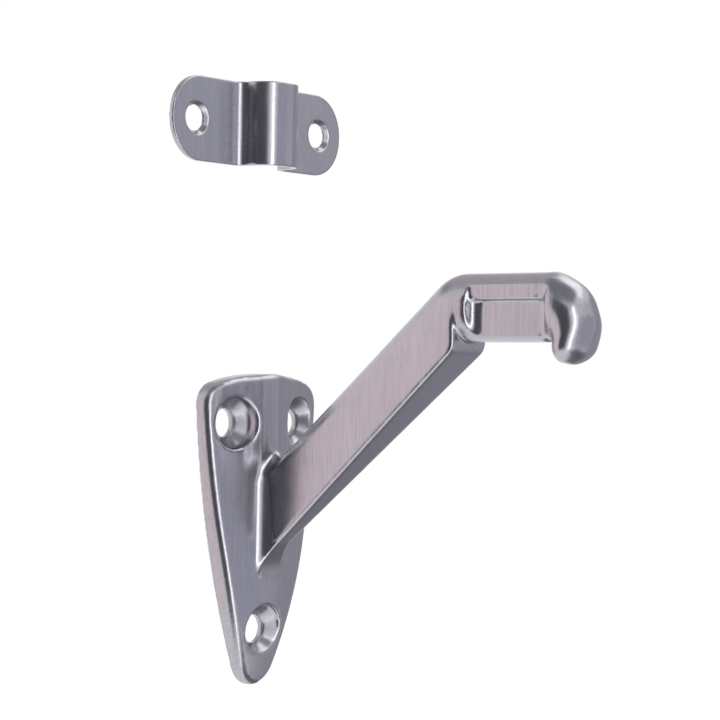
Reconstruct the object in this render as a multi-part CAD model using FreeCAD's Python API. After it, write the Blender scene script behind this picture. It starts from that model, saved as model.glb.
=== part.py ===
"""Handrail bracket: one cast wall bracket and the bent strap that clamps a rail onto it.

Frame, in millimetres: the wall is the plane X = 0 and +X points into the room, Y runs along
the wall and the bracket is symmetric about Y = 0, Z is up. The origin lies on the wall, midway
between the two upper screws. The strap is loose: it stands against the wall plane above the
plate, with the channel that wraps the seat opening onto the wall.
"""
import FreeCAD, Part
import math
import os

from FreeCAD import Vector

# --- Wall plate -----------------------------------------------------------------------------
plate_height = 74.6          # top of the arched upper edge to the lower tip
plate_shoulder_width = 40.4  # across the plate just below its upper corners
plate_top_margin = 11.7      # upper screws to the top of the upper edge
shoulder_drop = 6.0          # top of the plate down to where the shoulder width is measured
plate_top_radius = 62.0      # arch of the upper edge
plate_side_radius = 218.0    # bow of the two long sides
plate_tip_radius = 6.6       # round of the lower tip
plate_corner_radius = 5.5    # upper corners
plate_rise = 6.5             # thickness on the centre line
plate_crown_radius = 78.0    # crown of the front face from side to side
plate_dome_radius = 160.0    # fall of the front face towards the tip
plate_dome_drop = 28.3       # upper screws down to where that fall starts
plate_edge_round = 1.6       # round along the front edge
plate_back_break = 0.3       # broken edge against the wall

# --- Screw holes ----------------------------------------------------------------------------
screw_pitch = 23.4           # between the two upper screws
lower_screw_drop = 49.5      # upper screws down to the lower one
screw_bore = 6.6             # clear hole for a number 12 wood screw
screw_head = 12.2            # mouth of the countersink
screw_land = 1.7             # straight wall of the bore at the wall side

# --- Ridge up the middle of the plate -------------------------------------------------------
ridge_height = 8.4           # crest above the wall
ridge_radius = 5.6           # round of its back
ridge_foot = 2.0             # depth inside the plate where it starts
ridge_end_drop = 24.0        # upper screws down to its lower end, hidden inside the root
ridge_blend = 2.0

# --- Arm ------------------------------------------------------------------------------------
arm_angle = 40.9             # rise above the horizontal
arm_depth = 15.5             # square to the arm, underside to top
arm_root_width = 4.9         # across the arm where it leaves the plate
arm_root_reach = 4.0         # start of the arm inside the plate
arm_root_crown = 1.0         # height of the crown along its top where it leaves the plate
arm_crease_round = 0.8
root_blend = 2.0
flare_radius = 5.0           # hollow between the wall plate and each side of the arm
flare_height = 10.7          # above the wall, where that hollow has turned into the arm
flare_inset = 0.28           # how far it runs on into the side of the arm
flare_top_drop = 14.5        # upper screws down to the middle of its upper round end
flare_low_drop = 32.5        # upper screws down to the middle of its lower round end
tail_height = 6.0            # above the wall, where the tail below the arm dives into the plate
tail_radius = 16.0           # hollow from the underside of the arm into that tail
elbow_radius = 10.4          # bend of the top edge into the seat
elbow_reach = 64.1           # end face of the arm
elbow_heel_round = 4.0

# --- Seat bar and hook ----------------------------------------------------------------------
seat_top = 34.75             # top of the bar
bar_height = 15.4
bar_width = 13.8
seat_start = 67.3            # wall of the notch on the arm side
seat_length = 20.6           # notch that takes the strap
seat_cheek_width = 10.8      # across the two flats beside the rail seat
seat_ledge_drop = 6.1        # top of the bar down to the ledge under the flats
seat_web_width = 7.2         # across the web below the ledge
seat_web_round = 2.3         # inner corners of the web
seat_edge_round = 0.45
hook_radius = 11.4           # round of its back
hook_tip_depth = 4.3         # from the centre of the curl down to the lowest point
hook_shoulder = 2.3          # from the start of the curl out to the notch wall
hook_heel = 0.55             # centre of the curl below the underside of the bar
hook_tip_lean = 0.9          # how far the tip leans back towards the arm
hook_stations = 7
tip_stations = 5
tip_flat = 82.0              # how far round the tip the last station lies, in degrees

# --- Strap ----------------------------------------------------------------------------------
strap_side_clearance = 0.3   # to each wall of the notch
strap_fit_clearance = 0.2    # to each flat
strap_thickness = 1.4
strap_length = 61.5
strap_channel_depth = 10.5   # back of the ears to the outside of the channel floor
strap_floor_radius = 2.8     # outer bend at the channel floor
strap_ear_radius = 3.0       # visible bend at the ears
strap_screw_pitch = 45.0
strap_bore = 5.8
strap_head = 8.2
strap_edge_break = 0.25
strap_height = 71.2          # middle of the strap above the upper screws

# --- Worked-out places ----------------------------------------------------------------------
plate_top = plate_top_margin
plate_tip = plate_top - plate_height
arm_rise = math.radians(arm_angle)
along_arm = Vector(math.cos(arm_rise), 0, math.sin(arm_rise))
across_arm = Vector(-math.sin(arm_rise), 0, math.cos(arm_rise))
elbow_centre = Vector(elbow_reach, 0, seat_top - elbow_radius)
bar_middle = seat_top - bar_height / 2
bar_bottom = seat_top - bar_height
seat_end = seat_start + seat_length
ledge_level = seat_top - seat_ledge_drop
curl_centre = Vector(seat_end - hook_shoulder, 0, bar_bottom - hook_heel)
strap_width = seat_length - 2 * strap_side_clearance
strap_channel_width = seat_cheek_width + 2 * (strap_fit_clearance + strap_thickness)
arm_foot = ridge_foot / 2
ACROSS = Vector(0, 1, 0)


def circle_crossing(first, first_radius, second, second_radius, side):
    """Point of the XY.. plane pair (y, z) that lies on both circles; side picks which one."""
    gap = math.dist(first, second)
    along = (gap ** 2 + first_radius ** 2 - second_radius ** 2) / (2 * gap)
    off = math.sqrt(first_radius ** 2 - along ** 2)
    step_y = (second[0] - first[0]) / gap
    step_z = (second[1] - first[1]) / gap
    return (first[0] + along * step_y - side * off * step_z,
            first[1] + along * step_z + side * off * step_y)


def arc_edge(start, middle, end):
    return Part.Arc(start, middle, end).toShape()


def line_edge(start, end):
    return Part.LineSegment(start, end).toShape()


def mirrored(point):
    return Vector(point.x, -point.y, point.z)


def plate_outline():
    """Shield outline on the wall: arched top, bowed sides, round tip."""
    half = plate_shoulder_width / 2
    shoulder = (half, plate_top - shoulder_drop)
    tip_centre = (0.0, plate_tip + plate_tip_radius)
    side_centre = circle_crossing(shoulder, plate_side_radius, tip_centre,
                                  plate_side_radius - plate_tip_radius, -1)
    top_centre = (0.0, plate_top - plate_top_radius)
    corner = circle_crossing(top_centre, plate_top_radius, side_centre, plate_side_radius, -1)
    reach = math.dist(side_centre, tip_centre)
    tip_tangent = [side_centre[i] + plate_side_radius * (tip_centre[i] - side_centre[i]) / reach
                   for i in range(2)]
    upper = Vector(0, corner[0], corner[1])
    lower = Vector(0, tip_tangent[0], tip_tangent[1])
    side = Vector(0, shoulder[0], shoulder[1])
    return Part.Wire([
        arc_edge(mirrored(upper), Vector(0, 0, plate_top), upper),
        arc_edge(upper, side, lower),
        arc_edge(lower, Vector(0, 0, plate_tip), mirrored(lower)),
        arc_edge(mirrored(lower), mirrored(side), mirrored(upper)),
    ])


def dome():
    """Barrel whose outside is the crowned front face of the plate."""
    axis = plate_rise - plate_crown_radius
    above = plate_top + plate_rise
    fall_start = -plate_dome_drop
    fall_centre = Vector(plate_rise - plate_dome_radius, 0, fall_start)

    def on_fall(level):
        drop = fall_start - level
        return Vector(fall_centre.x + math.sqrt(plate_dome_radius ** 2 - drop ** 2), 0, level)

    below = plate_tip - plate_rise
    profile = Part.Wire([
        line_edge(Vector(axis, 0, above), Vector(plate_rise, 0, above)),
        line_edge(Vector(plate_rise, 0, above), Vector(plate_rise, 0, fall_start)),
        arc_edge(Vector(plate_rise, 0, fall_start), on_fall((fall_start + below) / 2),
                 on_fall(below)),
        line_edge(on_fall(below), Vector(axis, 0, below)),
        line_edge(Vector(axis, 0, below), Vector(axis, 0, above)),
    ])
    return Part.Face(profile).revolve(Vector(axis, 0, 0), Vector(0, 0, 1), 360)


def edges_where(shape, test):
    return [edge for edge in shape.Edges if test(edge)]


def near(value, target, reach=0.05):
    return abs(value - target) < reach


def on_skin(edge, skin):
    """True when an edge's middle and both its quarters lie on a skin of faces."""
    for share in (0.5, 0.25, 0.75):
        at = edge.FirstParameter + share * (edge.LastParameter - edge.FirstParameter)
        if Part.Vertex(edge.valueAt(at)).distToShape(skin)[0] > 0.01:
            return False
    return True


def seam(result, first, second):
    """Edges of a joined or cut shape that lie on the faces of both shapes it was made from."""
    skins = [Part.makeCompound(shape.Faces) for shape in (first, second)]
    meeting = first.BoundBox.intersected(second.BoundBox)
    meeting.enlarge(0.1)
    return edges_where(result, lambda edge: meeting.isInside(edge.CenterOfMass)
                       and all(on_skin(edge, skin) for skin in skins))


def plate_slab():
    """Outline of the plate as a thick slab with its upper corners rounded."""
    slab = Part.Face(plate_outline()).extrude(Vector(2 * plate_rise, 0, 0))
    corner_level = plate_top - shoulder_drop
    corners = edges_where(slab, lambda edge: abs(edge.tangentAt(edge.FirstParameter).x) > 0.99
                          and edge.CenterOfMass.z > corner_level)
    return slab.makeFillet(plate_corner_radius, corners)


def make_plate():
    """Crowned plate with its ridge blended in and the border of its front face rounded."""
    slab = plate_slab()
    face = slab.common(dome())
    back = ridge().common(slab)
    plate = face.fuse(back).removeSplitter()
    flanks = [edge for edge in seam(plate, face, back)
              if edge.BoundBox.ZMax > -ridge_end_drop + ridge_blend]
    plate = plate.makeFillet(ridge_blend, flanks)
    border = edges_where(plate, lambda edge: edge.CenterOfMass.x > plate_edge_round
                         and near_border(edge, slab))
    return plate.makeFillet(plate_edge_round, border)


def near_border(edge, slab):
    """True for an edge of the front face that runs round the border of the slab."""
    sides = [face for face in slab.Faces if abs(face.normalAt(0.5, 0.5).x) < 0.5]
    along = edge.tangentAt((edge.FirstParameter + edge.LastParameter) / 2)
    middle = Part.Vertex(edge.valueAt((edge.FirstParameter + edge.LastParameter) / 2))
    return (abs(along.x) < 0.9
            and min(middle.distToShape(face)[0] for face in sides) < 0.01)


def frame_shape(shape, centre, side, out, half_side, half_out):
    """Carry a unit shape in the XY plane to two square directions, scaled along each."""
    front = side.cross(out)
    matrix = FreeCAD.Matrix(
        side.x * half_side, out.x * half_out, front.x, centre.x,
        side.y * half_side, out.y * half_out, front.y, centre.y,
        side.z * half_side, out.z * half_out, front.z, centre.z,
        0, 0, 0, 1)
    return shape.transformGeometry(matrix)


def oval_wire(centre, out, half_side, half_out):
    """Closed oval across Y and along a direction square to Y."""
    return Part.Wire(frame_shape(Part.makeCircle(1.0), centre, ACROSS, out,
                                 half_side, half_out).Edges)


def arch_edge(centre, out, half_side, half_out):
    """Upper half of such an oval, from +Y over the top to -Y."""
    half = Part.makeCircle(1.0, Vector(0, 0, 0), Vector(0, 0, 1), 0, 180)
    return frame_shape(half, centre, ACROSS, out, half_side, half_out).Edges[0]


def ridge():
    """Round-backed ridge from the upper edge down into the root of the arm."""
    end = Vector(ridge_height - ridge_radius, 0, -ridge_end_drop)
    back = Part.makeCylinder(ridge_radius, plate_height, end, Vector(0, 0, 1))
    room = Part.makeBox(ridge_height, 2 * ridge_height, 2 * plate_height,
                        Vector(ridge_foot, -ridge_height, plate_tip))
    return back.common(room)


def arm_section(station, out, width, oval_height, depth):
    """Tombstone section: flat underside, flat sides, oval top; station is the elbow axis."""
    half = width / 2
    spring = station + out * (elbow_radius - oval_height)
    foot = station + out * (elbow_radius - depth)
    side = ACROSS * half
    return Part.Wire([
        arch_edge(spring, out, half, oval_height),
        line_edge(spring - side, foot - side),
        line_edge(foot - side, foot + side),
        line_edge(foot + side, spring + side),
    ])


def arm():
    """Straight arm that widens from the plate to the elbow, cut square at its end face."""
    run = (elbow_reach - arm_root_reach) / math.cos(arm_rise)
    root = arm_section(elbow_centre - along_arm * run, across_arm, arm_root_width,
                       arm_root_crown, arm_depth)
    end = arm_section(elbow_centre, across_arm, bar_width, bar_height / 2, arm_depth)
    blade = Part.makeLoft([root, end], True, True)
    kept = Part.makeBox(elbow_reach - arm_foot, 2 * bar_width, 6 * arm_depth,
                        Vector(arm_foot, -bar_width, -3 * arm_depth))
    blade = blade.common(kept)
    heel = edges_where(blade, lambda edge: near(edge.CenterOfMass.x, elbow_reach)
                       and below_arm(edge.CenterOfMass))
    blade = blade.makeFillet(elbow_heel_round, heel)
    return blade.makeFillet(arm_crease_round, edges_where(blade, is_arm_crease))


def below_arm(point):
    """True on the plane of the arm's underside."""
    return near((point - elbow_centre).dot(across_arm), elbow_radius - arm_depth, 0.2)


def is_arm_crease(edge):
    """True for the long edges between the underside and the two flat sides."""
    ends = edge.valueAt(edge.FirstParameter), edge.valueAt(edge.LastParameter)
    return (ends[0] - ends[1]).Length > arm_depth and all(below_arm(end) for end in ends)


def elbow():
    """Fan that turns the top of the arm level with the seat."""
    section = arm_section(elbow_centre, Vector(0, 0, 1), bar_width, bar_height / 2,
                          elbow_radius)
    return Part.Face(section).revolve(elbow_centre, Vector(0, -1, 0), arm_angle)


def bar():
    """Oval bar from the elbow to the start of the curl."""
    oval = Part.Ellipse(Vector(elbow_reach, 0, seat_top),
                        Vector(elbow_reach, bar_width / 2, bar_middle),
                        Vector(elbow_reach, 0, bar_middle))
    start = Part.Face(Part.Wire(oval.toShape()))
    return start.extrude(Vector(curl_centre.x - elbow_reach, 0, 0))


def reach_to_back(out):
    """Distance from the centre of the curl to the round back of the hook, along out."""
    back_centre = Vector(curl_centre.x, 0, seat_top - hook_radius)
    offset = curl_centre - back_centre
    along = offset.dot(out)
    return -along + math.sqrt(along ** 2 + hook_radius ** 2 - offset.dot(offset))


def hook():
    """Curl at the end of the bar: ovals fanned about its centre, then shrunk to a round tip."""
    sections = []
    for index in range(hook_stations):
        turn = math.pi / 2 * index / (hook_stations - 1)
        out = Vector(math.sin(turn), 0, math.cos(turn))
        outer = reach_to_back(out)
        inner = hook_heel + (hook_shoulder - hook_heel) * math.sin(turn)
        sections.append(oval_wire(curl_centre + out * ((outer + inner) / 2), out,
                                  bar_width / 2, (outer - inner) / 2))
    middle = (outer + inner) / 2
    for index in range(1, tip_stations + 1):
        turn = math.radians(tip_flat) * index / tip_stations
        sink = math.sin(turn)
        place = Vector(middle - hook_tip_lean * sink, 0, -hook_tip_depth * sink)
        sections.append(oval_wire(curl_centre + place, out, bar_width / 2 * math.cos(turn),
                                  (outer - inner) / 2 * math.cos(turn)))
    return Part.makeLoft(sections, True, False)


def seat():
    """Bar and hook with the notch for the strap cut into both sides."""
    whole = bar().fuse(hook()).removeSplitter()
    for side in (-1, 1):
        whole = whole.cut(notch_cutter(side))
    return whole


def root_flare():
    """Hollow flanks between the plate and the arm, round at the top, with a tail below."""
    reach = arm_half_width(flare_height) - flare_inset
    centre = Vector(flare_height, reach + flare_radius, 0)
    slant = math.sqrt(0.5) * flare_radius
    near_arm = Vector(flare_height, reach, 0)
    near_plate = Vector(flare_height - flare_radius, reach + flare_radius, 0)
    hollow = arc_edge(near_arm, centre - Vector(slant, slant, 0), near_plate)
    foot = Vector(ridge_foot, near_plate.y, 0)
    half = Part.Face(Part.Wire([
        line_edge(Vector(flare_height, 0, 0), near_arm), hollow, line_edge(near_plate, foot),
        line_edge(foot, Vector(ridge_foot, 0, 0)),
        line_edge(Vector(ridge_foot, 0, 0), Vector(flare_height, 0, 0))]))
    half.translate(Vector(0, 0, -flare_low_drop))
    rise = Vector(0, 0, flare_low_drop - flare_top_drop)
    flank = half.extrude(rise)
    low_end = half.revolve(Vector(0, 0, -flare_low_drop), Vector(1, 0, 0), -180)
    top_end = low_end.mirror(Vector(0, 0, -flare_low_drop), Vector(0, 0, 1))
    top_end.translate(rise)
    other = flank.mirror(Vector(0, 0, 0), Vector(0, 1, 0))
    whole = flank.fuse([other, low_end, top_end]).removeSplitter()
    return whole.common(above_tail())


def arm_half_width(level):
    """Half the width of the arm's underside at a height above the wall."""
    share = (level - arm_root_reach) / (elbow_reach - arm_root_reach)
    return (arm_root_width + (bar_width - arm_root_width) * share) / 2


def underside_level(reach):
    """Height of the plane of the arm's underside at a distance from the wall."""
    offset = elbow_radius - arm_depth
    rise = (reach - elbow_centre.x) * math.sin(arm_rise) + offset
    return elbow_centre.z + rise / math.cos(arm_rise)


def above_tail():
    """Room above the arm's underside and the hollow that carries it down into the plate."""
    corner = Vector(tail_height, 0, underside_level(tail_height))
    run = tail_radius * math.tan((math.pi / 2 - arm_rise) / 2)
    on_arm = corner + along_arm * run
    on_plate = corner - Vector(0, 0, run)
    centre = on_plate + Vector(tail_radius, 0, 0)
    middle = centre + (corner - centre) * (tail_radius / (corner - centre).Length)
    far = corner + along_arm * (2 * arm_depth)
    outline = Part.Wire([
        arc_edge(on_plate, middle, on_arm), line_edge(on_arm, far),
        line_edge(far, Vector(far.x, 0, plate_top)),
        line_edge(Vector(far.x, 0, plate_top), Vector(0, 0, plate_top)),
        line_edge(Vector(0, 0, plate_top), Vector(0, 0, on_plate.z)),
        line_edge(Vector(0, 0, on_plate.z), on_plate)])
    side_view = Part.Face(outline)
    side_view.translate(Vector(0, -bar_width, 0))
    return side_view.extrude(Vector(0, 2 * bar_width, 0))


def notch_cutter(side):
    """What is taken from one side of the bar: a shallow flat above, a deep pocket below."""
    outside = bar_width
    cheek = seat_cheek_width / 2
    web = seat_web_width / 2
    floor = bar_bottom - hook_heel / 2
    flat = Part.makeBox(seat_length, outside, bar_height,
                        Vector(seat_start, cheek, ledge_level))
    pocket = Part.makeBox(seat_length, outside, ledge_level - floor,
                          Vector(seat_start, web, floor))
    corners = edges_where(pocket, lambda edge: near(edge.CenterOfMass.y, web)
                          and edge.BoundBox.ZLength > bar_height / 2)
    pocket = pocket.makeFillet(seat_web_round, corners)
    cutter = flat.fuse(pocket)
    if side < 0:
        cutter = cutter.mirror(Vector(0, 0, 0), Vector(0, 1, 0))
    return cutter


def screw_cutter(across, level):
    """Bore, countersink and the straight recess over the screw head."""
    bore = screw_bore / 2
    head = screw_head / 2
    cone_end = screw_land + head - bore
    outside = 2 * ridge_height
    profile = Part.makePolygon([
        Vector(-1, 0, 0), Vector(-1, bore, 0), Vector(screw_land, bore, 0),
        Vector(cone_end, head, 0), Vector(outside, head, 0), Vector(outside, 0, 0),
        Vector(-1, 0, 0)])
    cutter = Part.Face(profile).revolve(Vector(0, 0, 0), Vector(1, 0, 0), 360)
    cutter.translate(Vector(0, across, level))
    return cutter


def screw_places():
    return [(-screw_pitch / 2, 0.0), (screw_pitch / 2, 0.0), (0.0, -lower_screw_drop)]


def make_bracket():
    """The casting: plate, arm, bar and hook in one, then the notch and the screw holes."""
    plate = make_plate()
    blade = arm()
    body = plate.fuse(blade).removeSplitter()
    crotch = [edge for edge in seam(body, plate, blade)
              if edge.CenterOfMass.z > -flare_top_drop]
    body = body.makeFillet(root_blend, crotch)
    body = body.fuse(root_flare())
    for other in (elbow(), seat()):
        body = body.fuse(other)
    for across, level in screw_places():
        body = body.cut(screw_cutter(across, level))
    return body


def make_strap():
    """Strap bent from one strip: an ear, the channel, an ear, with a countersunk hole in each."""
    inner = strap_channel_width / 2 - strap_thickness
    floor = strap_channel_depth - strap_thickness
    end = strap_length / 2
    back = Part.makePolygon([
        Vector(0, -end, 0), Vector(0, -inner, 0), Vector(floor, -inner, 0),
        Vector(floor, inner, 0), Vector(0, inner, 0), Vector(0, end, 0),
        Vector(strap_thickness, end, 0),
        Vector(strap_thickness, inner + strap_thickness, 0),
        Vector(strap_channel_depth, inner + strap_thickness, 0),
        Vector(strap_channel_depth, -inner - strap_thickness, 0),
        Vector(strap_thickness, -inner - strap_thickness, 0),
        Vector(strap_thickness, -end, 0),
        Vector(0, -end, 0)])
    strip = Part.Face(back).extrude(Vector(0, 0, strap_width))
    strip.translate(Vector(0, 0, strap_height - strap_width / 2))
    strip = bend_round(strip, strap_channel_depth, inner + strap_thickness, strap_floor_radius)
    strip = bend_round(strip, floor, inner, strap_floor_radius - strap_thickness)
    strip = bend_round(strip, strap_thickness, inner + strap_thickness,
                       strap_ear_radius)
    strip = bend_round(strip, 0, inner, strap_ear_radius + strap_thickness)
    strip = strip.common(ear_outline())
    for side in (-1, 1):
        strip = strip.cut(strap_hole(side * strap_screw_pitch / 2))
    return strip


def bend_round(strip, level, across, radius):
    """Round the pair of long edges that stand at one depth and one distance from the middle."""
    pair = edges_where(strip, lambda edge: near(edge.CenterOfMass.x, level)
                       and near(abs(edge.CenterOfMass.y), across)
                       and near(edge.Length, strap_width))
    return strip.makeFillet(radius, pair)


def ear_outline():
    """Stadium that gives both ears their full-round ends."""
    half = strap_width / 2
    straight = strap_length / 2 - half
    body = Part.makeBox(strap_channel_depth, 2 * straight, strap_width,
                        Vector(0, -straight, strap_height - half))
    for side in (-1, 1):
        body = body.fuse(Part.makeCylinder(half, strap_channel_depth,
                                           Vector(0, side * straight, strap_height),
                                           Vector(1, 0, 0)))
    return body.removeSplitter()


def strap_hole(across):
    """Clear hole with a countersink that opens away from the wall."""
    bore = strap_bore / 2
    head = strap_head / 2
    cone_start = strap_thickness - (head - bore)
    hole = Part.makeCylinder(bore, 3 * strap_thickness,
                             Vector(-strap_thickness, across, strap_height), Vector(1, 0, 0))
    sink = Part.makeCone(bore, head, head - bore, Vector(cone_start, across, strap_height),
                         Vector(1, 0, 0))
    return hole.fuse(sink)


if __name__ == "__main__":
    os.makedirs("parts", exist_ok=True)
    for name, piece in (("bracket", make_bracket()), ("strap", make_strap())):
        box = piece.optimalBoundingBox()
        print(name, piece.isValid(), len(piece.Solids), round(piece.Volume, 1),
              [round(v, 2) for v in (box.XMin, box.YMin, box.ZMin, box.XMax, box.YMax, box.ZMax)])
        piece.exportStep("parts/" + name + ".step")
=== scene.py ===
# %% [markdown]
# # A handrail bracket in satin metal
#
# The object is a cast bracket that carries a stair rail, and a loose strap that clamps the rail
# onto it. Both solids come from the CAD model, in metres: the wall is the plane X = 0, +X points
# into the room and +Z is up. This script gives them their worked finish, and then the studio.

# %% Load the solids
import math

import bmesh
import bpy
from mathutils import Matrix, Vector


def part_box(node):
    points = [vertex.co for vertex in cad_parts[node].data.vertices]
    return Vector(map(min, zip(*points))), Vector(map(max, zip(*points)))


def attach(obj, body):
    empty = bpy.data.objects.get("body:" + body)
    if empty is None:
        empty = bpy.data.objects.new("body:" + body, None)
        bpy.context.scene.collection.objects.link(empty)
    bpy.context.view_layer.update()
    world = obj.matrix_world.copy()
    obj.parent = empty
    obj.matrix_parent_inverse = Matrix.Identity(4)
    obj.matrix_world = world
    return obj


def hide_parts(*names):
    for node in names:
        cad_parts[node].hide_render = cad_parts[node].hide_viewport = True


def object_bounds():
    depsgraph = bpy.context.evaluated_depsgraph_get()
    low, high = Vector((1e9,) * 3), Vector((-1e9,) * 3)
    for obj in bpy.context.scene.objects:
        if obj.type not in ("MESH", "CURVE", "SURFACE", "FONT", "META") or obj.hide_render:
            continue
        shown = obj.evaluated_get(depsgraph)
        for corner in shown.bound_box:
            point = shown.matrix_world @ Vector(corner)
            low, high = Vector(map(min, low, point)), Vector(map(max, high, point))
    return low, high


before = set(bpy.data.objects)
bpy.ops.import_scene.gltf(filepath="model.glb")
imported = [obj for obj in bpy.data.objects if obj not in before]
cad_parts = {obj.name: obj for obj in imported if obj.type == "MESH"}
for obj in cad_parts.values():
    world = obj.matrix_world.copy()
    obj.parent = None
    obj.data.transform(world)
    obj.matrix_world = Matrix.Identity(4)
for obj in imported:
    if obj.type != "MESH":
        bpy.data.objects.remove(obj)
cad_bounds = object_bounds()
MM = 0.001

# %% [markdown]
# ## The camera comes first
#
# A long lens from well back keeps the arm's true proportions, where a short lens close by would
# swell the hook. The camera stands level with the top of the wall plate, to the front left of
# the bracket, and leans by less than one degree. Its direction is written as an azimuth and an
# elevation, because those are what a person would judge: azimuth 0 looks square at the side of
# the arm, and 90 looks square at the wall.

# %% Place the camera
view_azimuth = math.radians(37.99)
view_elevation = math.radians(-0.57)
camera_lean = math.radians(0.90)
camera_distance = 554.1 * MM
aim_right = 26.03 * MM
aim_up = 3.73 * MM
plate_top = 11.7 * MM

right = Vector((math.cos(view_azimuth), math.sin(view_azimuth), 0))
back = Vector((math.sin(view_azimuth) * math.cos(view_elevation),
               -math.cos(view_azimuth) * math.cos(view_elevation),
               math.sin(view_elevation)))
up = back.cross(right)
camera_data = bpy.data.cameras.new("camera")
camera_data.lens = 115
camera_data.sensor_width = 36
camera = bpy.data.objects.new("camera", camera_data)
bpy.context.scene.collection.objects.link(camera)
turn = Matrix((right, up, back)).transposed() @ Matrix.Rotation(camera_lean, 3, "Z")
eye = back * camera_distance + right * aim_right + up * aim_up + Vector((0, 0, plate_top))
camera.matrix_world = Matrix.Translation(eye) @ turn.to_4x4()
bpy.context.scene.camera = camera
print("camera at", [round(value, 3) for value in eye])

# %% [markdown]
# ## A copy of the casting to work on
#
# On the real object the plate, the arm and the hooked seat are one casting. A CAD node is never
# changed, so its mesh is copied. It arrives as loose triangles, and joining their corners makes
# one closed skin that modifiers can work on.


# %% Copy the solid
def linked(name, data):
    """Object of this mesh or lamp, linked into the scene."""
    piece = bpy.data.objects.new(name, data)
    bpy.context.scene.collection.objects.link(piece)
    return piece


def mesh_from(shape, name):
    """Mesh made from a bmesh, which is then freed."""
    mesh = bpy.data.meshes.new(name)
    shape.to_mesh(mesh)
    shape.free()
    return mesh


merge_distance = 0.001 * MM
loose = bmesh.new()
loose.from_mesh(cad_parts["bracket"].data)
bmesh.ops.remove_doubles(loose, verts=loose.verts, dist=merge_distance)
bracket_solid = linked("bracket_solid", mesh_from(loose, "bracket_solid"))
print("bracket_solid faces:", len(bracket_solid.data.polygons))

# %% [markdown]
# ## An even skin
#
# A casting is ground and then brushed, which rounds each edge a little. A Bevel modifier can't
# do that on a CAD mesh, whose triangles beside an edge are smaller than the round, so the skin
# is made anew. A voxel remesh builds it from even cells, which leaves small steps on slanting
# faces. A little smoothing takes the steps away, and a shrinkwrap puts every point back on the
# true surface.

# %% Rebuild the skin from even cells
casting_cell = 0.40 * MM
relax_rounds = 6


def applied(piece):
    """Give a piece the mesh that its modifiers make, and take the modifiers away."""
    finished = bpy.data.meshes.new_from_object(
        piece.evaluated_get(bpy.context.evaluated_depsgraph_get()))
    piece.modifiers.clear()
    piece.data = finished


def even_skin(solid, name, cell):
    """Copy of a solid whose skin is made of even cells that lie on the solid's surface."""
    piece = linked(name, solid.data)
    remesh = piece.modifiers.new("even_cells", "REMESH")
    remesh.mode = "VOXEL"
    remesh.voxel_size = cell
    relax = piece.modifiers.new("relaxed", "SMOOTH")
    relax.iterations = relax_rounds
    wrap = piece.modifiers.new("back_on_surface", "SHRINKWRAP")
    wrap.target = solid
    wrap.wrap_method = "NEAREST_SURFACEPOINT"
    applied(piece)
    print(name, "points:", len(piece.data.vertices))
    return piece


casting = even_skin(bracket_solid, "wall_casting", casting_cell)
bpy.data.objects.remove(bracket_solid)

# %% [markdown]
# ## The swell between the upper screws
#
# In the solid a half-round ridge runs down the middle of the plate. On the real casting the
# wheel has ground it into a low gable, which rises from the rim of one screw hole to a soft
# crest and falls to the other. It stands about a millimetre further out at most, so each point
# there is moved straight out or in by the difference. Each fade below is a pair of places between
# which that move dies away: towards the root of the arm, the wall, the room and the sides.

# %% Sizes of the plate, its ridge and the swell
plate_rise = 6.5 * MM
plate_crown = 78 * MM
ridge_axis = 2.8 * MM
ridge_radius = 5.6 * MM
crest = 8.3 * MM
gable_slope = 0.33
crest_round = 2.0 * MM
foot_round = 0.6 * MM
fade_to_root = (-12 * MM, -7 * MM)
fade_to_wall = (5.3 * MM, 6.1 * MM)
fade_to_room = (9.0 * MM, 9.6 * MM)
fade_to_side = (7 * MM, 10 * MM)
print("the swell stands", round((crest - plate_rise) / MM, 2), "mm out of the plate")


# %% Grind the swell
def smooth_step(value, start, end):
    """0 before start, 1 after end, with a soft change between them."""
    t = min(max((value - start) / (end - start), 0), 1)
    return t * t * (3 - 2 * t)


def swell_change(y):
    """How far the ground swell stands out from the solid's front face."""
    plate = plate_rise - y ** 2 / (2 * plate_crown)
    ridge = ridge_axis + math.sqrt(max(ridge_radius ** 2 - y ** 2, 0))
    gable = crest - gable_slope * (math.hypot(y, crest_round) - crest_round)
    swell = (plate + gable + math.hypot(plate - gable, foot_round)) / 2
    return swell - max(plate, ridge)


moves = []
for vertex in casting.data.vertices:
    point = vertex.co
    share = (smooth_step(point.z, *fade_to_root) * smooth_step(point.x, *fade_to_wall)
             * (1 - smooth_step(point.x, *fade_to_room))
             * (1 - smooth_step(abs(point.y), *fade_to_side)))
    if share:
        moves.append(share * swell_change(point.y))
        point.x += moves[-1]
print("points moved:", len(moves), "| by", round(min(moves) / MM, 2), "to",
      round(max(moves) / MM, 2), "mm")

# %% [markdown]
# ## Worn edges
#
# The same wheel and the brush wear down the rims of the screw holes, the edges of the notch and
# the creases. A Smooth modifier draws each point towards the middle of its neighbours, so a few
# rounds of it round an edge by a cell or two and leave broad faces as they are.

# %% Wear the edges
casting_wear = 7


def wear(piece, rounds):
    """Round the edges of a piece by smoothing it a number of times."""
    smooth = piece.modifiers.new("worn_edges", "SMOOTH")
    smooth.iterations = rounds
    applied(piece)
    piece.data.name = piece.name
    for face in piece.data.polygons:
        face.use_smooth = True
    print(piece.name, "faces:", len(piece.data.polygons))


wear(casting, casting_wear)

# %% [markdown]
# ## The ends of the notch
#
# At each end of the notch a small wheel has run the web out into the metal beside it, and the
# corners are hollows there, not sharp steps. More rounds of smoothing in those two places alone
# give them the same soft run-out. A vertex group tells the modifier which points it may move.

# %% Soften the ends of the notch
notch_rounds = 24
arm_end_of_notch = ((65.8, -8, 19.8), (69.6, 8, 29.5))
hook_end_of_notch = ((85.2, -8, 16.0), (90.0, 8, 33.0))


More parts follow.
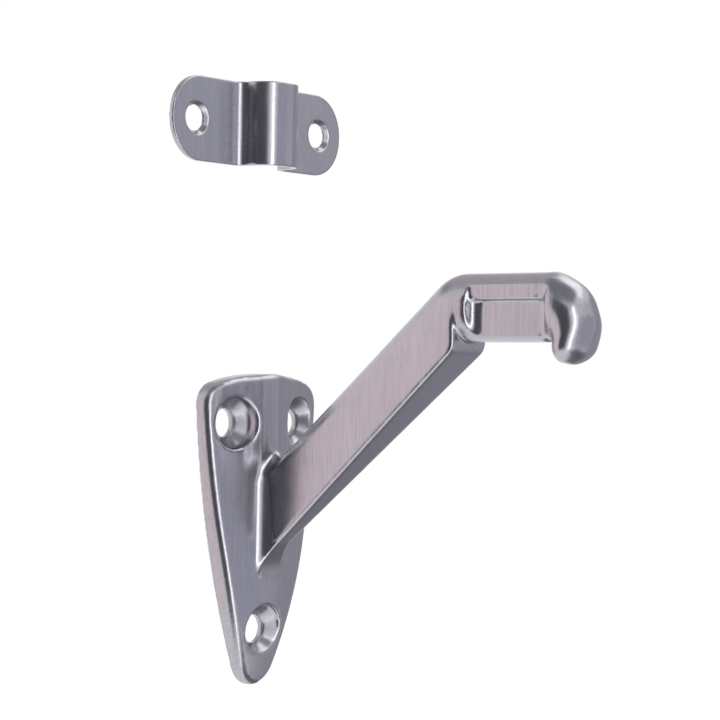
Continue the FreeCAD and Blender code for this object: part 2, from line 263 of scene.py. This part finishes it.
def soften(piece, chosen, rounds):
    """Smooth only the points of a piece for which chosen(point) is true."""
    group = piece.vertex_groups.new(name="softened")
    inside = [vertex.index for vertex in piece.data.vertices if chosen(vertex.co)]
    group.add(inside, 1.0, "REPLACE")
    smooth = piece.modifiers.new("softened", "SMOOTH")
    smooth.vertex_group = group.name
    smooth.iterations = rounds
    applied(piece)
    piece.vertex_groups.clear()
    print(piece.name, "softened points:", len(inside))


def in_box(low_corner, high_corner):
    """Test for points inside a box, whose corners are in millimetres."""
    return lambda point: all(low_corner[i] * MM <= point[i] <= high_corner[i] * MM
                             for i in range(3))


for low_corner, high_corner in (arm_end_of_notch, hook_end_of_notch):
    soften(casting, in_box(low_corner, high_corner), notch_rounds)

# %% [markdown]
# ## The border of the plate
#
# The wheel also runs round the front edge of the plate, where it leaves a wider round than at the
# holes. The plate's half width is measured at each height, from the points near the wall, and
# the points near the front edge alone are smoothed more.

# %% Round the front edge of the plate
border_rounds = 30
border_width = 2.6 * MM
border_depth = (1.6 * MM, 7 * MM)
wall_band = 1.5 * MM

half_widths = {}
for vertex in casting.data.vertices:
    if vertex.co.x < wall_band:
        height = round(vertex.co.z / MM)
        half_widths[height] = max(half_widths.get(height, 0), abs(vertex.co.y))


def on_front_border(point):
    """Whether a point lies near the front edge of the plate."""
    half = half_widths.get(round(point.z / MM), 0)
    return (border_depth[0] < point.x < border_depth[1]
            and abs(point.y) > half - border_width > 0)


soften(casting, on_front_border, border_rounds)

# %% [markdown]
# ## The strap
#
# The strap is one strip of metal, bent over a former, so its outer bends are wide and even. It is
# modelled as the bender sees it: a flat line with four folds is drawn out to the strip's width,
# a bevel rounds the folds and the corners of the ears, and a Solidify modifier gives the sheet
# its thickness. Its outer size and its place are those of the CAD node.

# %% Sizes of the strap
strap_low, strap_high = (Vector(corner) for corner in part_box("strap"))
strap_width = strap_high.z - strap_low.z
strap_middle = (strap_low.z + strap_high.z) / 2
thickness = 1.4 * MM
flank = 6.3 * MM
ear_level = thickness / 2
floor_level = strap_high.x - thickness / 2
floor_bend = 5.2 * MM
ear_bend = 3.4 * MM
ear_corner = 9.6 * MM
near = 0.01 * MM
print("strip", round(strap_width / MM, 1), "mm wide and", round(thickness / MM, 1), "mm thick")

# %% Fold the strip
strip = bmesh.new()
fold_line = [strip.verts.new((x, y, strap_low.z)) for x, y in (
    (ear_level, strap_low.y), (ear_level, -flank), (floor_level, -flank),
    (floor_level, flank), (ear_level, flank), (ear_level, strap_high.y))]
for first, second in zip(fold_line, fold_line[1:]):
    strip.edges.new((first, second))
drawn = bmesh.ops.extrude_edge_only(strip, edges=strip.edges)
bmesh.ops.translate(strip, vec=(0, 0, strap_width),
                    verts=[part for part in drawn["geom"] if isinstance(part, bmesh.types.BMVert)])
print("flat sheets between the folds:", len(strip.faces))


# %% Round the folds and the ears
def folds(shape, level):
    """Upright edges of the sheet at the fold level."""
    return [edge for edge in shape.edges
            if all(abs(v.co.x - level) < near and abs(abs(v.co.y) - flank) < near
                   for v in edge.verts) and abs(edge.verts[0].co.z - edge.verts[1].co.z) > MM]


bmesh.ops.bevel(strip, geom=folds(strip, floor_level), offset=floor_bend, segments=14,
                profile=0.5, affect="EDGES", material=-1)
bmesh.ops.bevel(strip, geom=folds(strip, ear_level), offset=ear_bend, segments=8,
                profile=0.5, affect="EDGES", material=-1)
corners = [v for v in strip.verts if abs(abs(v.co.y) - strap_high.y) < near]
bmesh.ops.bevel(strip, geom=corners, offset=ear_corner, segments=16, profile=0.5,
                affect="VERTICES", material=-1)
bmesh.ops.recalc_face_normals(strip, faces=strip.faces)
strap_solid = linked("strap_sheet", mesh_from(strip, "strap_sheet"))
solidify = strap_solid.modifiers.new("thickness", "SOLIDIFY")
solidify.thickness = thickness
solidify.offset = 0
applied(strap_solid)
print("strap_sheet faces:", len(strap_solid.data.polygons))

# %% [markdown]
# ## The countersunk holes
#
# Each ear is drilled and then countersunk. A Boolean modifier does the same with a straight
# cylinder and a cone, one after the other. The cone widens by as much as it rises, for a screw
# head of 90 degrees. The strap then gets an even skin and worn edges as the casting did, from
# finer cells, because its sheet is thin.

# %% Drill and countersink the ears
hole_reach = 22.5 * MM
bore = 2.9 * MM
head = 4.1 * MM
drill_path = (-2 * MM, 4 * MM)
cone_rise = 1 * MM
strip_cell = 0.25 * MM
strip_wear = 4


def drilled(piece, y, radius_back, radius_front, back, front):
    """Cut a round or tapered hole along X through a piece."""
    cutter_shape = bmesh.new()
    bmesh.ops.create_cone(cutter_shape, cap_ends=True, segments=64, radius1=radius_back,
                          radius2=radius_front, depth=front - back,
                          matrix=Matrix.Translation(((back + front) / 2, y, strap_middle))
                          @ Matrix.Rotation(math.radians(90), 4, "Y"))
    cutter = linked("cutter", mesh_from(cutter_shape, "cutter"))
    cut = piece.modifiers.new("hole", "BOOLEAN")
    cut.operation = "DIFFERENCE"
    cut.object = cutter
    applied(piece)
    bpy.data.objects.remove(cutter)


for y in (-hole_reach, hole_reach):
    drilled(strap_solid, y, bore, bore, *drill_path)
    drilled(strap_solid, y, bore, head + cone_rise, thickness - (head - bore),
            thickness + cone_rise)
clamp_strip = even_skin(strap_solid, "clamp_strip", strip_cell)
bpy.data.objects.remove(strap_solid)
wear(clamp_strip, strip_wear)

# %% [markdown]
# ## In place of the solids
#
# Each worked piece now stands for its CAD node, which is hidden. Both ride on the one body that
# a part without joints has.

# %% Stand the pieces in for their solids
for piece, node, slot_name in ((casting, "bracket", "satin_metal"),
                               (clamp_strip, "strap", "satin_strip")):
    piece.data.materials.clear()
    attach(piece, "root")
    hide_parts(node)
    print(piece.name, "stands for", node)

# %% [markdown]
# ## Helpers for the materials
#
# Colours are written as the hex values that a paint chart gives, which are sRGB, and Blender
# wants linear light, so one function converts them. Another adds one node with its settings and
# its links, which keeps each material readable from top to bottom.


# %% Colour and node helpers
def linear(hex_colour):
    """Linear RGBA of an sRGB hex colour such as #8c8a90."""
    channels = [int(hex_colour[i:i + 2], 16) / 255 for i in (1, 3, 5)]
    return [c / 12.92 if c <= 0.04045 else ((c + 0.055) / 1.055) ** 2.4 for c in channels] + [1]


def empty_tree(owner):
    """Node tree of a new material or world, with nothing in it."""
    owner.use_nodes = True
    owner.node_tree.nodes.clear()
    return owner.node_tree


def add_node(tree, kind, settings=None, values=None, links=None):
    """Add one node; settings are its attributes, values its sockets, links its inputs."""
    node = tree.nodes.new(kind)
    for key, value in (settings or {}).items():
        setattr(node, key, value)
    for key, value in (values or {}).items():
        node.inputs[key].default_value = value
    for key, source in (links or {}).items():
        tree.links.new(source, node.inputs[key])
    return node


print("a middle grey in linear light:", [round(c, 3) for c in linear("#808080")])

# %% [markdown]
# ## Satin nickel
#
# Both pieces have satin nickel plate over metal that was brushed on a belt. Under the eye that
# gives a soft mirror: light from a window smears into broad bands, and rounded edges still
# flash. The grain of a fine belt is about 0.1 mm wide, too fine to show at this distance, so it
# is drawn three to four times as wide. It runs up and down, so the noise is stretched along Z. A
# second, much broader noise varies the sheen a little, as hand work does.

# %% Make the satin metals
grain_stretch = 30
cloud_width = 14 * MM
sheen_spread = 0.04


def satin_metal(name, tint, shade, roughness, grain_width, grain_depth):
    """Brushed metal with a grain that runs up and down and a slightly uneven sheen."""
    material = bpy.data.materials.new(name)
    tree = empty_tree(material)
    place = add_node(tree, "ShaderNodeTexCoord").outputs["Object"]
    across = 1 / grain_width
    stretched = add_node(tree, "ShaderNodeMapping",
                         values={"Scale": (across, across, across / grain_stretch)},
                         links={"Vector": place})
    grain = add_node(tree, "ShaderNodeTexNoise",
                     values={"Scale": 1.0, "Detail": 3.0, "Roughness": 0.6},
                     links={"Vector": stretched.outputs["Vector"]})
    cloud = add_node(tree, "ShaderNodeTexNoise",
                     values={"Scale": 1 / cloud_width, "Detail": 2.0},
                     links={"Vector": place})
    streaks = add_node(tree, "ShaderNodeMapRange",
                       values={"From Min": 0.35, "From Max": 0.65},
                       links={"Value": grain.outputs["Fac"]})
    colour = add_node(tree, "ShaderNodeMix", settings={"data_type": "RGBA"},
                      links={"Factor": streaks.outputs["Result"]})
    colour.inputs["A"].default_value = linear(shade)
    colour.inputs["B"].default_value = linear(tint)
    sheen = add_node(tree, "ShaderNodeMapRange",
                     values={"From Min": 0.3, "From Max": 0.7,
                             "To Min": roughness - sheen_spread,
                             "To Max": roughness + sheen_spread},
                     links={"Value": cloud.outputs["Fac"]})
    relief = add_node(tree, "ShaderNodeBump",
                      values={"Strength": 1.0, "Distance": grain_depth},
                      links={"Height": grain.outputs["Fac"]})
    surface = add_node(tree, "ShaderNodeBsdfPrincipled", values={"Metallic": 1.0},
                       links={"Base Color": colour.outputs["Result"],
                              "Roughness": sheen.outputs["Result"],
                              "Normal": relief.outputs["Normal"]})
    add_node(tree, "ShaderNodeOutputMaterial", links={"Surface": surface.outputs["BSDF"]})
    return material


# %% Give each piece its metal
casting_nickel = satin_metal("satin_nickel_casting", tint="#b6b5bc", shade="#aaa9b0",
                             roughness=0.26, grain_width=0.38 * MM, grain_depth=0.0007 * MM)
strip_nickel = satin_metal("satin_nickel_strip", tint="#b6b5bc", shade="#adacb3",
                           roughness=0.25, grain_width=0.30 * MM, grain_depth=0.0005 * MM)
casting.data.materials.append(casting_nickel)
clamp_strip.data.materials.append(strip_nickel)
print("materials:", casting_nickel.name, strip_nickel.name)

# %% [markdown]
# ## The studio
#
# Metal has hardly any colour of its own: what it shows is the room. So the room is built from
# sheets of paper, which only the metal sees. A warm white sheet on the left is mirrored by the
# side of the arm, cool grey ones on the right by the plate, and a dark one around the camera
# draws the dark bands in every bend. Others above and below shade the hook and the underside of
# the arm. Each is placed by the compass bearing and the height at which the bracket sees it.

# %% Aim sheets and lamps
low, high = (Vector(corner) for corner in cad_bounds)
middle = (low + high) / 2


def aimed(bearing, height, distance):
    """Transform of a sheet or lamp at a bearing and a height in degrees, facing the bracket."""
    around, lift = math.radians(bearing), math.radians(height)
    away = Vector((math.cos(lift) * math.cos(around), math.cos(lift) * math.sin(around),
                   math.sin(lift)))
    facing = away.to_track_quat("Z", "Y").to_matrix().to_4x4()
    return Matrix.Translation(middle + away * distance) @ facing


print("the studio is built around", [round(value / MM, 1) for value in middle], "mm")

# %% Hang the sheets of paper
sheet_distance = 0.8


def glowing(name, colour, strength):
    """Material that gives an even light of one colour."""
    material = bpy.data.materials.new(name)
    tree = empty_tree(material)
    light = add_node(tree, "ShaderNodeEmission",
                     values={"Color": linear(colour), "Strength": strength})
    add_node(tree, "ShaderNodeOutputMaterial", links={"Surface": light.outputs["Emission"]})
    return material


def sheet_of_paper(name, bearing, height, size, colour, strength=1.0):
    """Paper sheet that is seen only in the metal."""
    shape = bmesh.new()
    bmesh.ops.create_grid(shape, x_segments=1, y_segments=1, size=0.5)
    bmesh.ops.scale(shape, vec=(size[0], size[1], 1), verts=shape.verts)
    bmesh.ops.transform(shape, matrix=aimed(bearing, height, sheet_distance), verts=shape.verts)
    piece = linked(name, mesh_from(shape, name))
    piece.visible_camera = False
    piece.visible_diffuse = False
    piece.visible_shadow = False
    piece.data.materials.append(glowing(name, colour, strength))


sheet_of_paper("warm_left", -145, 0, (0.86, 0.95), "#fff0f1", 1.15)
sheet_of_paper("dark_by_camera", -80, -2, (1.04, 1.45), "#606066")
sheet_of_paper("grey_right", 22, 0, (0.92, 0.80), "#c2c3d1")
sheet_of_paper("grey_far_right", 84, -8, (0.92, 1.2), "#b6b4bc")
sheet_of_paper("grey_below", 60, -58, (1.3, 0.7), "#808088")
sheet_of_paper("grey_above", -60, 72, (1.1, 0.8), "#9a9aa0")
sheet_of_paper("warm_above", 165, 52, (1.0, 0.7), "#d4cccf")
print("sheets stand", sheet_distance, "m from the bracket")

# %% [markdown]
# ## The lamps
#
# A tall, narrow lamp to the right of the camera draws the sharp white lines along the rounded
# edges. A soft panel overhead lights the upper faces and gives the floor a faint shadow.

# %% Place the lamps
lamp_distance = 0.9


def lamp(name, bearing, height, size, brightness):
    """White rectangular lamp; its power for each square metre is brightness times pi."""
    data = bpy.data.lights.new(name, "AREA")
    data.shape = "RECTANGLE"
    data.size, data.size_y = size
    data.energy = brightness * math.pi * size[0] * size[1]
    light = linked(name, data)
    light.matrix_world = aimed(bearing, height, lamp_distance)


lamp("narrow_right", -24, -5, (0.12, 1.5), 4.0)
lamp("top_panel", 60, 60, (0.9, 0.5), 0.9)
print("lamps stand", lamp_distance, "m from the bracket")

# %% [markdown]
# ## The floor
#
# The bracket is shown on plain white. The floor is pale and matt and lies well below, so that it
# doesn't crowd the reflections. For rays that come from the camera or from a reflection it also
# glows a little, so that it fades into the white world and still takes a soft shadow.

# %% Lay the floor
floor_drop = 700 * MM
floor_half = 6
floor_glow = 0.75


def seen_directly(tree):
    """Output that is 1 for rays from the camera, from gloss and through glass."""
    ray = add_node(tree, "ShaderNodeLightPath")
    first = add_node(tree, "ShaderNodeMath", settings={"operation": "MAXIMUM"},
                     links={0: ray.outputs["Is Camera Ray"], 1: ray.outputs["Is Glossy Ray"]})
    both = add_node(tree, "ShaderNodeMath", settings={"operation": "MAXIMUM"},
                    links={0: first.outputs[0], 1: ray.outputs["Is Transmission Ray"]})
    return both.outputs[0]


def pale_floor():
    """Matt pale floor that glows a little where it is seen directly."""
    material = bpy.data.materials.new("pale_floor")
    tree = empty_tree(material)
    matt = add_node(tree, "ShaderNodeBsdfDiffuse", values={"Color": linear("#f4f4f4")})
    glow = add_node(tree, "ShaderNodeEmission",
                    values={"Color": linear("#ffffff"), "Strength": floor_glow})
    both = add_node(tree, "ShaderNodeAddShader",
                    links={0: matt.outputs["BSDF"], 1: glow.outputs["Emission"]})
    pick = add_node(tree, "ShaderNodeMixShader",
                    links={"Fac": seen_directly(tree), 1: matt.outputs["BSDF"],
                           2: both.outputs["Shader"]})
    add_node(tree, "ShaderNodeOutputMaterial", links={"Surface": pick.outputs["Shader"]})
    return material


ground = low.z - floor_drop
floor_shape = bmesh.new()
bmesh.ops.create_grid(floor_shape, x_segments=1, y_segments=1, size=floor_half,
                      matrix=Matrix.Translation((0, 0, ground)))
floor = linked("studio_floor", mesh_from(floor_shape, "studio_floor"))
floor.data.materials.append(pale_floor())
print("floor", round(ground / MM), "mm from the upper screws")

# %% [markdown]
# ## The world
#
# The world is white behind everything and in every reflection. Its light on matt surfaces is
# weaker, so that the floor isn't brighter than the paper white behind it.

# %% Light the world
matt_light = 0.35
world = bpy.data.worlds.new("studio_world")
bpy.context.scene.world = world
world_tree = empty_tree(world)
strength = add_node(world_tree, "ShaderNodeMapRange",
                    values={"To Min": matt_light, "To Max": 1.0},
                    links={"Value": seen_directly(world_tree)})
sky = add_node(world_tree, "ShaderNodeBackground", values={"Color": linear("#ffffff")},
               links={"Strength": strength.outputs["Result"]})
add_node(world_tree, "ShaderNodeOutputWorld", links={"Surface": sky.outputs["Background"]})
bpy.context.scene.view_settings.view_transform = "Standard"
print("world light on matt surfaces:", matt_light)
